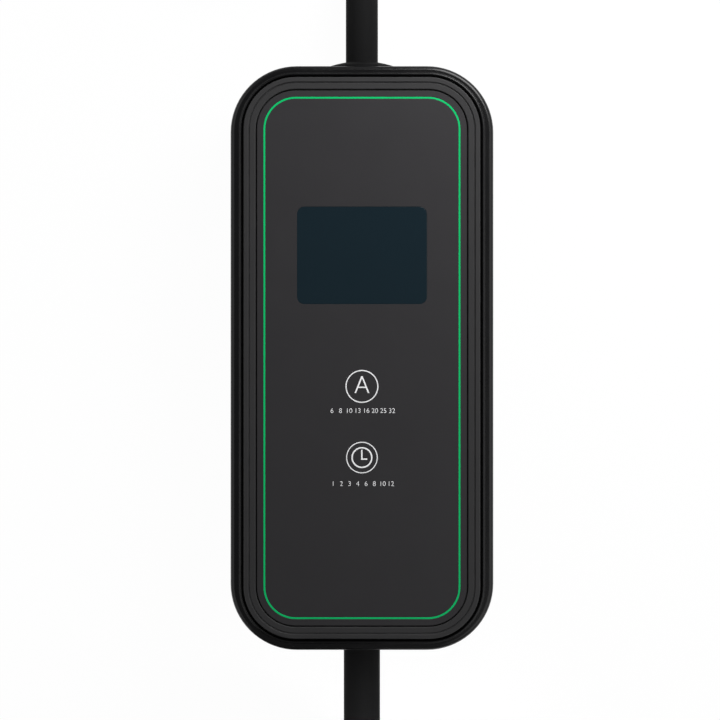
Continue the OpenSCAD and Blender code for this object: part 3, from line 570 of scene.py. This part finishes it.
def mesh_piece(name: str, mesh: bmesh.types.BMesh) -> bpy.types.Object:
    """Turn a bmesh into an object in the scene, with flat faces.

    Args:
        name: Name of the piece.
        mesh: The mesh, which is freed.

    Returns:
        The new object.
    """
    bmesh.ops.recalc_face_normals(mesh, faces=mesh.faces)
    for face in mesh.faces:
        face.smooth = False
    data = bpy.data.meshes.new(name)
    mesh.to_mesh(data)
    mesh.free()
    piece = bpy.data.objects.new(name, data)
    bpy.context.scene.collection.objects.link(piece)
    return piece


def skin(mesh: bmesh.types.BMesh, rings: list[list[bmesh.types.BMVert]], closed: bool) -> None:
    """Cover a row of rings with faces.

    Args:
        mesh: The mesh that takes them.
        rings: Rings with the same number of corners, in order.
        closed: Whether the last ring meets the first; if not, both ends get a face.
    """
    count = len(rings)
    sides = len(rings[0])
    for i in range(count if closed else count - 1):
        here, there = rings[i], rings[(i + 1) % count]
        for k in range(sides):
            n = (k + 1) % sides
            mesh.faces.new((here[k], here[n], there[n], there[k]))
    if not closed:
        mesh.faces.new(rings[0])
        mesh.faces.new(rings[-1])


@dataclass(frozen=True)
class Lamp:
    """One soft lamp of the studio.

    Attributes:
        name: Name of the lamp.
        place: Where it hangs.
        target: What it points at.
        size: Width and height of its face.
        power: Its power in watts.
        spread: Angle of its beam.
        mirrored: Whether glossy surfaces reflect it.
    """

    name: str
    place: Point
    target: Point
    size: Flat
    power: float
    spread: float = math.pi
    mirrored: bool = True

    def hang(self) -> None:
        """Put the lamp into the scene."""
        data = bpy.data.lights.new(self.name, "AREA")
        data.shape = "RECTANGLE"
        data.size, data.size_y = self.size
        data.energy = self.power
        data.spread = self.spread
        lamp = bpy.data.objects.new(self.name, data)
        lamp.location = self.place
        lamp.rotation_mode = "QUATERNION"
        ray = Vector(self.target) - Vector(self.place)
        lamp.rotation_quaternion = ray.to_track_quat("-Z", "Y")
        lamp.visible_camera = False
        lamp.visible_glossy = self.mirrored
        bpy.context.scene.collection.objects.link(lamp)


KEY_PLACE = (0.14, 0.27, 0.28)
KEY_TARGET = (0.0, 0.04, 0.05)
KEY_SIZE = (0.2, 0.2)
LAMPS = (
    Lamp("key_lamp", KEY_PLACE, KEY_TARGET, KEY_SIZE, power=0.98),
    Lamp("key_fill", KEY_PLACE, KEY_TARGET, KEY_SIZE, power=0.9, mirrored=False),
    Lamp("side_lamp", (0.27, -0.05, 0.36), (0.0, -0.02, 0.05), (0.6, 0.42), power=0.8),
    Lamp("left_lamp", (-0.45, 0.03, 0.5), (0.0, 0.0, 0.05), (0.9, 0.5), power=1.0),
    Lamp(
        "cable_lamp", (0.0, -0.25, 0.3), (0.0, -0.175, 0.02), (0.08, 0.05),
        power=0.056, spread=0.45, mirrored=False,
    ),
    Lamp(
        "hank_lamp", (-0.06, -0.44, 0.6), (-0.06, -0.43, 0.0), (0.16, 0.16),
        power=0.45, spread=0.65, mirrored=False,
    ),
)


@dataclass
class Studio:
    """Floor, sky, lamps and the camera over the box.

    Attributes:
        eye: Height of the camera over the panel.
        frame: Width of the picture at the panel.
        centre: Place on the panel at the picture's middle.
        sensor: Width of the camera's sensor, in millimetres.
        floor_half: Half the width of the floor.
        glow: Share of plain white in the floor, where it is seen.
        band: Heights on a unit sphere between which the sky dims.
        sky: Strength of the sky below the band and above it.
    """

    eye: float = 1.2
    frame: float = 0.27115
    centre: Flat = (-0.00073, -0.00075)
    sensor: float = 36.0
    floor_half: float = 6.0
    glow: float = 0.975
    band: Flat = (0.1, 0.8)
    sky: Flat = (0.45, 0.12)

    def camera(self) -> None:
        """Put the camera straight over the panel."""
        data = bpy.data.cameras.new("camera")
        data.sensor_width = self.sensor
        data.lens = self.sensor * self.eye / self.frame
        data.clip_end = 50.0
        camera = bpy.data.objects.new("camera", data)
        camera.location = (*self.centre, PANEL_Z / 1000 + self.eye)
        bpy.context.scene.collection.objects.link(camera)
        bpy.context.scene.camera = camera

    def build(self) -> None:
        """Make the floor, the sky and the lamps."""
        bpy.context.scene.view_settings.view_transform = "Standard"
        self._floor()
        self._sky()
        for lamp in LAMPS:
            lamp.hang()

    def _floor(self) -> None:
        """Lay a wide pale floor that shows white behind the object and keeps a soft shadow."""
        mesh = bmesh.new()
        bmesh.ops.create_grid(mesh, x_segments=2, y_segments=2, size=self.floor_half)
        floor = mesh_piece("floor", mesh)
        material = bpy.data.materials.new("floor_white")
        material.use_nodes = True
        nodes = material.node_tree.nodes
        w = Wiring(material.node_tree)
        shader = nodes["Principled BSDF"]
        shader.inputs["Base Color"].default_value = (0.8, 0.8, 0.8, 1.0)
        shader.inputs["Roughness"].default_value = 0.9
        shader.inputs["Specular IOR Level"].default_value = 0.0
        white = w.add("ShaderNodeEmission")
        path = w.add("ShaderNodeLightPath")
        seen = w.sum_of("MAXIMUM", path.outputs["Is Camera Ray"], path.outputs["Is Glossy Ray"])
        seen = w.sum_of("MAXIMUM", seen, path.outputs["Is Transmission Ray"])
        blend = w.add("ShaderNodeMixShader")
        w.join(w.sum_of("MULTIPLY", seen, self.glow), blend.inputs["Fac"])
        w.join(shader.outputs["BSDF"], blend.inputs[1])
        w.join(white.outputs["Emission"], blend.inputs[2])
        w.join(blend.outputs["Shader"], nodes["Material Output"].inputs["Surface"])
        floor.data.materials.append(material)

    def _sky(self) -> None:
        """Fill the room with light that is strong at the horizon and weak overhead."""
        world = bpy.data.worlds.new("studio_sky")
        bpy.context.scene.world = world
        world.use_nodes = True
        w = Wiring(world.node_tree)
        split = w.add("ShaderNodeSeparateXYZ")
        w.join(w.add("ShaderNodeTexCoord").outputs["Generated"], split.inputs["Vector"])
        background = world.node_tree.nodes["Background"]
        background.inputs["Color"].default_value = (1.0, 1.0, 1.0, 1.0)
        w.join(w.ranged(split.outputs["Z"], *self.band, self.sky), background.inputs["Strength"])


def cord_curve(name: str, route: list[Vector], diameter: float) -> bpy.types.Object:
    """Make a round cord along a route.

    Args:
        name: Name of the piece.
        route: The points of its centreline.
        diameter: Its thickness.

    Returns:
        The curve object.
    """
    data = bpy.data.curves.new(name, "CURVE")
    data.dimensions = "3D"
    data.resolution_u = 5
    data.bevel_depth = diameter / 2
    data.bevel_resolution = 5
    data.use_fill_caps = True
    spline = data.splines.new("BEZIER")
    spline.bezier_points.add(len(route) - 1)
    for point, place in zip(spline.bezier_points, route):
        point.co = place
        point.handle_left_type = "AUTO"
        point.handle_right_type = "AUTO"
    piece = bpy.data.objects.new(name, data)
    bpy.context.scene.collection.objects.link(piece)
    return piece


@dataclass
class MainsLead:
    """The short lead: straight out, down to the floor, one loop, and on into the plug.

    Attributes:
        diameter: Thickness of the cord.
        length: Its length between the clamp and the plug; not used.
        lead: Distance along the box in millimetres, and how high the cord still is there.
        tail: Distances along the box at which it runs into the plug, in millimetres.
        loop_r: Radius of the loop in millimetres.
        loop_y: Where the loop starts and ends along the box, in millimetres.
        loop_step: Angle between two points of the loop, in degrees.
        low: Height of the cord on the floor, in millimetres.
        high: Height where it passes over itself, in millimetres.
        rise: Angles between which it rises, in degrees.
        exit: Where it leaves the box; not used.
    """

    diameter: float = 0.0124
    length: float = 0.54
    lead: tuple[Flat, ...] = (
        (88.45, 1.0), (102, 1.0), (114, 1.0), (122, 1.0), (132, 0.94), (142, 0.76),
        (152, 0.5), (163, 0.24), (173, 0.06), (183, 0.0), (196, 0.0),
    )
    tail: tuple[float, ...] = (222, 246, 270)
    loop_r: float = 56.0
    loop_y: float = 209.0
    loop_step: int = 15
    low: float = 6.2
    high: float = 18.8
    rise: Flat = (230.0, 318.0)
    exit: Point = (0.0, 0.1146, 0.019)

    def route(self) -> list[Vector]:
        """Give the centreline in metres."""
        points = lead_out(self.lead, self.low)
        for angle in range(0, 361, self.loop_step):
            turn = math.radians(angle)
            lift = ease((angle - self.rise[0]) / (self.rise[1] - self.rise[0]))
            points.append(
                metres(
                    self.loop_r * (math.cos(turn) - 1),
                    self.loop_y + self.loop_r * math.sin(turn),
                    self.low + (self.high - self.low) * lift,
                )
            )
        return points + [metres(0, y, self.high) for y in self.tail]

    def build(self, shop: FinishShop) -> None:
        """Args:
            shop: Where the finishes come from.
        """
        piece = cord_curve("mains_lead", self.route(), self.diameter)
        settle(piece, shop.material(JACKET))
        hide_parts("mains_cord")


@dataclass
class VehicleCable:
    """The long cable: down to the floor, a hank of eight turns, and the tail on top of it.

    Attributes:
        diameter: Thickness of the cable.
        length: Its length between the clamp and the connector; not used.
        lead: Distance along the box in millimetres, and how high the cable still is there.
        end: Distances along the box at which it runs into the connector, in millimetres.
        mean: Mean radius of the hank's bends, in millimetres.
        near: Where the hank's near ends curve, in millimetres.
        far: Where its far ends curve, in millimetres.
        slots: Radius and height of each turn's place in the bundle, in millimetres.
        shift_from: Distance along the first turn at which it moves to the next place.
        shift_back: How much earlier each further turn moves, in millimetres.
        shift_over: Length of the move, in millimetres.
        connector_z: Height of the connector's axis, in millimetres.
        exit: Where the cable leaves the box; not used.
    """

    diameter: float = 0.014
    length: float = 4.62
    lead: tuple[Flat, ...] = (
        (-88.45, 1.0), (-102, 1.0), (-118, 1.0), (-130, 0.94), (-142, 0.76), (-154, 0.5),
        (-166, 0.25), (-178, 0.07), (-190, 0.0),
    )
    end: tuple[float, ...] = (-216, -232, -250, -269)
    mean: float = 48.75
    near: float = -209.5
    far: float = -332.0
    slots: tuple[Flat, ...] = (
        (55.75, 7), (41.75, 7), (41.75, 21), (55.75, 21), (55.75, 35), (41.75, 35), (41.75, 49),
        (55.75, 49), (55.75, 64.35),
    )
    shift_from: float = 230.0
    shift_back: float = 30.0
    shift_over: float = 100.0
    connector_z: float = 78.0
    exit: Point = (0.0, -0.1114, 0.019)

    @property
    def run(self) -> float:
        """Length of a straight run in millimetres."""
        return self.near - self.far

    def _place(self, turn: int, station: float) -> Flat:
        """Find a turn's radius and height at a station past the start of the far bend.

        Args:
            turn: Number of the turn, from 0.
            station: Distance along the turn, in millimetres.

        Returns:
            The radius and the height in millimetres.
        """
        begin = self.shift_from - self.shift_back * turn
        share = ease((station - begin) / self.shift_over)
        old, new = self.slots[turn], self.slots[turn + 1]
        return (old[0] + (new[0] - old[0]) * share, old[1] + (new[1] - old[1]) * share)

    @staticmethod
    def _bent(radius: float, angle: float, middle_y: float, height: float) -> Vector:
        """Give a point on a bend of the hank.

        Args:
            radius: Radius of the bend, in millimetres.
            angle: Angle round the bend, in radians.
            middle_y: Middle of the bend along the box, in millimetres.
            height: Height of the point, in millimetres.

        Returns:
            The point in metres.
        """
        return metres(
            HANK_MIDDLE + radius * math.cos(angle), middle_y + radius * math.sin(angle), height
        )

    def _turn(self, turn: int) -> list[Vector]:
        """Give the points of one turn.

        Args:
            turn: Number of the turn, from 0.

        Returns:
            The points in metres, from the near end of the right run back to there.
        """
        half = math.pi * self.mean
        points = []
        for step in range(RUN_STEPS):
            radius, height = self.slots[turn]
            along = self.near - self.run * step / RUN_STEPS
            points.append(metres(HANK_MIDDLE + radius, along, height))
        for step in range(BEND_STEPS + 1):
            radius, height = self._place(turn, half * step / BEND_STEPS)
            points.append(self._bent(radius, -math.pi * step / BEND_STEPS, self.far, height))
        for step in range(1, RUN_STEPS):
            along = self.run * step / RUN_STEPS
            radius, height = self._place(turn, half + along)
            points.append(metres(HANK_MIDDLE - radius, self.far + along, height))
        last = turn == len(self.slots) - 2
        for step in range(BEND_STEPS + 1 if last else BEND_STEPS):
            share = step / BEND_STEPS
            radius, height = self._place(turn, half + self.run + half * share)
            if last:
                height += (self.connector_z - height) * ease(share)
            points.append(self._bent(radius, math.pi * (1 - share), self.near, height))
        return points

    def route(self) -> list[Vector]:
        """Give the centreline in metres."""
        points = lead_out(self.lead, self.slots[0][1])
        for turn in range(len(self.slots) - 1):
            points += self._turn(turn)
        return points + [metres(0, y, self.connector_z) for y in self.end]

    def build(self, shop: FinishShop) -> None:
        """Args:
            shop: Where the finishes come from.
        """
        piece = cord_curve("vehicle_cable", self.route(), self.diameter)
        settle(piece, shop.material(JACKET))
        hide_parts("vehicle_lead", "vehicle_hank", "vehicle_tail")


@dataclass
class HankTies:
    """The straps round the hank, each with a lapped end.

    Attributes:
        places: Middle of each strap across and along, in millimetres.
        bundle: Width and height of the bundle that they hold, in millimetres.
        width: Width of the webbing in millimetres.
        thickness: Thickness of the webbing in millimetres.
        bite: How far the webbing presses into the bundle, in millimetres.
        bend: Inner radius at the bundle's corners, in millimetres.
        bend_steps: Steps round a corner.
        lap: Heights between which the strap's end lies, in millimetres.
        lap_steps: Steps along the strap's end.
        lap_tip: Thickness at the tips of the strap's end, as a share of the full one.
        lap_ramp: How steeply the strap's end grows to its full thickness.
        soft_edge: Width of the softened edges in metres.
    """

    places: tuple[Flat, ...] = ((-104.5, -238.0), (-104.5, -302.0), (-7.0, -226.0))
    bundle: Flat = (28.0, 56.0)
    width: float = 20.0
    thickness: float = 1.3
    bite: float = 0.1
    bend: float = 6.7
    bend_steps: int = 8
    lap: Flat = (9.0, 45.0)
    lap_steps: int = 10
    lap_tip: float = 0.35
    lap_ramp: float = 5.0
    soft_edge: float = 0.0003

    def _loop(self, offset: float) -> list[Flat]:
        """Give the strap's outline round the bundle.

        Args:
            offset: Distance outside the bundle, in millimetres.

        Returns:
            Points across and up, in millimetres.
        """
        points = []
        across, up = self.bundle
        radius = self.bend + offset
        for side, top, start in ((1, 1, 0), (-1, 1, 90), (-1, -1, 180), (1, -1, 270)):
            x = side * (across / 2 - self.bend)
            z = up / 2 + top * (up / 2 - self.bend)
            for step in range(self.bend_steps + 1):
                angle = math.radians(start + 90 * step / self.bend_steps)
                height = z + radius * math.sin(angle)
                points.append((x + radius * math.cos(angle), max(height, 0.0)))
        return points

    def _lap(self, side: int) -> tuple[list[Flat], list[Flat]]:
        """Give the outline of the strap's end, which lies on the strap's outer side.

        Args:
            side: Which side of the bundle it lies on, 1 or -1.

        Returns:
            The lap's inner and outer points, across and up, in millimetres.
        """
        under = self.bundle[0] / 2 + self.thickness
        inner, outer = [], []
        for step in range(self.lap_steps + 1):
            share = step / self.lap_steps
            up = self.lap[0] + (self.lap[1] - self.lap[0]) * share
            full = min(1.0, self.lap_ramp * share, self.lap_ramp * (1 - share))
            swell = self.lap_tip + (1 - self.lap_tip) * full
            inner.append((side * under, up))
            outer.append((side * (under + self.thickness * swell), up))
        return inner, outer

    def _band(
        self,
        mesh: bmesh.types.BMesh,
        inner: list[Flat],
        outer: list[Flat],
        place: Flat,
        closed: bool,
    ) -> None:
        """Add one band of webbing to a mesh.

        Args:
            mesh: The mesh that takes it.
            inner: The band's inner outline.
            outer: Its outer outline.
            place: Middle of the band, in millimetres.
            closed: Whether the band runs all the way round.
        """
        rings = []
        for (xi, zi), (xo, zo) in zip(inner, outer):
            rings.append(
                [
                    mesh.verts.new(metres(place[0] + x, place[1] + y * self.width / 2, z))
                    for x, z, y in ((xi, zi, -1), (xo, zo, -1), (xo, zo, 1), (xi, zi, 1))
                ]
            )
        skin(mesh, rings, closed)

    def build(self, shop: FinishShop) -> None:
        """Make the straps.

        Args:
            shop: Where the finishes come from.
        """
        for number, place in enumerate(self.places, start=1):
            mesh = bmesh.new()
            inner, outer = self._loop(-self.bite), self._loop(self.thickness)
            self._band(mesh, inner, outer, place, closed=True)
            side = 1 if place[0] > HANK_MIDDLE else -1
            self._band(mesh, *self._lap(side), place, closed=False)
            piece = mesh_piece(f"hank_tie_{number}", mesh)
            soften = piece.modifiers.new("soft_edges", "BEVEL")
            soften.width = self.soft_edge
            soften.segments = 2
            settle(piece, shop.material(STRAP))
            if number == 1:
                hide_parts("hank_ties")


@dataclass(frozen=True)
class NumberRow:
    """A printed row of plain numbers.

    Attributes:
        name: Name of the piece.
        words: The numbers from left to right.
        middle: Height of the row's middle on the panel, in millimetres.
        width: Width of the row, in millimetres.
    """

    name: str
    words: tuple[str, ...]
    middle: float
    width: float


@dataclass
class PanelSigns:
    """The printed signs under the window: an ammeter sign, a clock sign and their numbers.

    Attributes:
        ink: Thickness of the print, in millimetres.
        meter_y: Middle of the ammeter sign, in millimetres.
        meter_ring: Outer diameter and stroke of its ring, in millimetres.
        clock_y: Middle of the clock sign, in millimetres.
        clock_rings: Outer diameter and stroke of its rings, in millimetres.
        hands: Corners of the clock's hands from its middle, in millimetres.
        ring_sides: Number of flat sides of a ring.
        rows: The rows of numbers.
        cap: Height of a figure, in millimetres.
        cap_share: Height of a figure as a share of the font's size.
        thinning: How far the figures' outlines are drawn in, in millimetres.
    """

    ink: float = 0.04
    meter_y: float = -10.7
    meter_ring: Flat = (12.4, 0.42)
    clock_y: float = -37.5
    clock_rings: tuple[Flat, ...] = ((11.9, 0.38), (7.95, 0.55))
    hands: tuple[Flat, ...] = (
        (-0.33, -0.87), (2.0, -0.87), (2.0, -0.32), (0.22, -0.32), (0.22, 2.95), (-0.33, 2.95),
    )
    ring_sides: int = 96
    rows: tuple[NumberRow, ...] = (
        NumberRow("current_numbers", ("6", "8", "10", "13", "16", "20", "25", "32"), -19.8, 25.8),
        NumberRow("hour_numbers", ("1", "2", "3", "4", "6", "8", "10", "12"), -47.3, 24.8),
    )
    cap: float = 1.8
    cap_share: float = 0.7
    thinning: float = 0.03

    @property
    def heights(self) -> Flat:
        """Heights of the print's underside, just inside the panel, and of its face."""
        return PANEL_Z - self.ink / 4, PANEL_Z + self.ink

    def _prism(self, mesh: bmesh.types.BMesh, outline: list[Flat], middle_y: float) -> None:
        """Add a thin plate with the given outline.

        Args:
            mesh: The mesh that takes it.
            outline: Its corners, in millimetres from the middle.
            middle_y: Middle of the sign, in millimetres.
        """
        rings = [
            [mesh.verts.new(metres(x, middle_y + y, z)) for x, y in outline] for z in self.heights
        ]
        skin(mesh, rings, closed=False)

    def _ring(self, mesh: bmesh.types.BMesh, size: Flat, middle_y: float) -> None:
        """Add a thin flat ring.

        Args:
            mesh: The mesh that takes it.
            size: Outer diameter and stroke, in millimetres.
            middle_y: Middle of the ring, in millimetres.
        """
        low, high = self.heights
        outer = size[0] / 2
        inner = outer - size[1]
        rings = []
        for i in range(self.ring_sides):
            angle = 2 * math.pi * i / self.ring_sides
            rings.append(
                [
                    mesh.verts.new(metres(r * math.cos(angle), middle_y + r * math.sin(angle), z))
                    for r, z in ((inner, low), (outer, low), (outer, high), (inner, high))
                ]
            )
        skin(mesh, rings, closed=True)

    def _letter(self, mesh: bmesh.types.BMesh, middle_y: float) -> None:
        """Add the ampere letter as two mirrored halves that are welded along its middle.

        Args:
            mesh: The mesh that takes it.
            middle_y: Middle of the sign, in millimetres.
        """
        foot, top, wide, tip, stroke = -2.5, 3.86, 2.82, 0.28, 0.62
        bar_low, bar_high = -0.6, -0.1
        lean = (wide - tip) / (top - foot)
        inner = wide - stroke
        half = [
            (wide, foot), (inner, foot),
            (inner - lean * (bar_low - foot), bar_low), (0.0, bar_low), (0.0, bar_high),
            (inner - lean * (bar_high - foot), bar_high), (0.0, foot + inner / lean),
            (0.0, top), (tip, top),
        ]
        for side in (-1, 1):
            self._prism(mesh, [(side * x, y) for x, y in half], middle_y)
        bmesh.ops.remove_doubles(mesh, verts=mesh.verts, dist=WELD)
        seam = [
            face for face in mesh.faces if all(abs(vert.co.x) < WELD for vert in face.verts)
        ]
        bmesh.ops.delete(mesh, geom=seam, context="FACES_ONLY")

    def _numbers(self, row: NumberRow, shop: FinishShop) -> None:
        """Print a row of plain numbers.

        Args:
            row: The row to print.
            shop: Where the finishes come from.
        """
        mesh = bmesh.new()
        for i, word in enumerate(row.words):
            data = bpy.data.curves.new(row.name, "FONT")
            data.body = word
            data.align_x = "CENTER"
            data.size = self.cap / 1000 / self.cap_share
            data.extrude = self.ink / 2000
            data.offset = -self.thinning / 1000
            figure = bpy.data.objects.new(row.name, data)
            bpy.context.scene.collection.objects.link(figure)
            solid = figure.evaluated_get(bpy.context.evaluated_depsgraph_get())
            shape = bpy.data.meshes.new_from_object(solid)
            across = -row.width / 2 + row.width * (i + 0.5) / len(row.words)
            place = metres(across, row.middle - self.cap / 2, PANEL_Z + self.ink / 2)
            shape.transform(Matrix.Translation(place))
            mesh.from_mesh(shape)
            bpy.data.objects.remove(figure)
            bpy.data.meshes.remove(shape)
        settle(mesh_piece(row.name, mesh), shop.material(SIGN))

    def build(self, shop: FinishShop) -> None:
        """Make the signs.

        Args:
            shop: Where the finishes come from.
        """
        mesh = bmesh.new()
        self._ring(mesh, self.meter_ring, self.meter_y)
        self._letter(mesh, self.meter_y)
        settle(mesh_piece("ammeter_sign", mesh), shop.material(SIGN))

        mesh = bmesh.new()
        for ring in self.clock_rings:
            self._ring(mesh, ring, self.clock_y)
        self._prism(mesh, list(self.hands), self.clock_y)
        settle(mesh_piece("clock_sign", mesh), shop.material(SIGN))

        for row in self.rows:
            self._numbers(row, shop)


@dataclass
class ControlBox:
    """The box, the plug and the connector: solids that keep their shape and get their finishes.

    Attributes:
        nodes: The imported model's solids by name.
    """

    nodes: dict[str, bpy.types.Object]

    def dress(self, shop: FinishShop) -> None:
        """Give each carried-over solid its material.

        Args:
            shop: Where the finishes come from.
        """
        for finish, names in NODE_FINISH.items():
            for name in names:
                node = self.nodes[name]
                if not node.material_slots:
                    node.data.materials.append(shop.material(finish))
                for slot in node.material_slots:
                    slot.material = shop.material(finish)
                LOG.info("solid %s in %s", name, finish.name)


def main() -> None:
    """Build the scene in order."""
    logging.basicConfig(level=logging.INFO, format="%(name)s: %(message)s")
    bpy.ops.wm.read_factory_settings(use_empty=True)
    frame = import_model()
    studio = Studio()
    studio.camera()
    shop = FinishShop()
    HankTies().build(shop)
    MainsLead().build(shop)
    VehicleCable().build(shop)
    ControlBox(frame["nodes"]).dress(shop)
    PanelSigns().build(shop)
    studio.build()


if __name__ == "__main__":
    main()
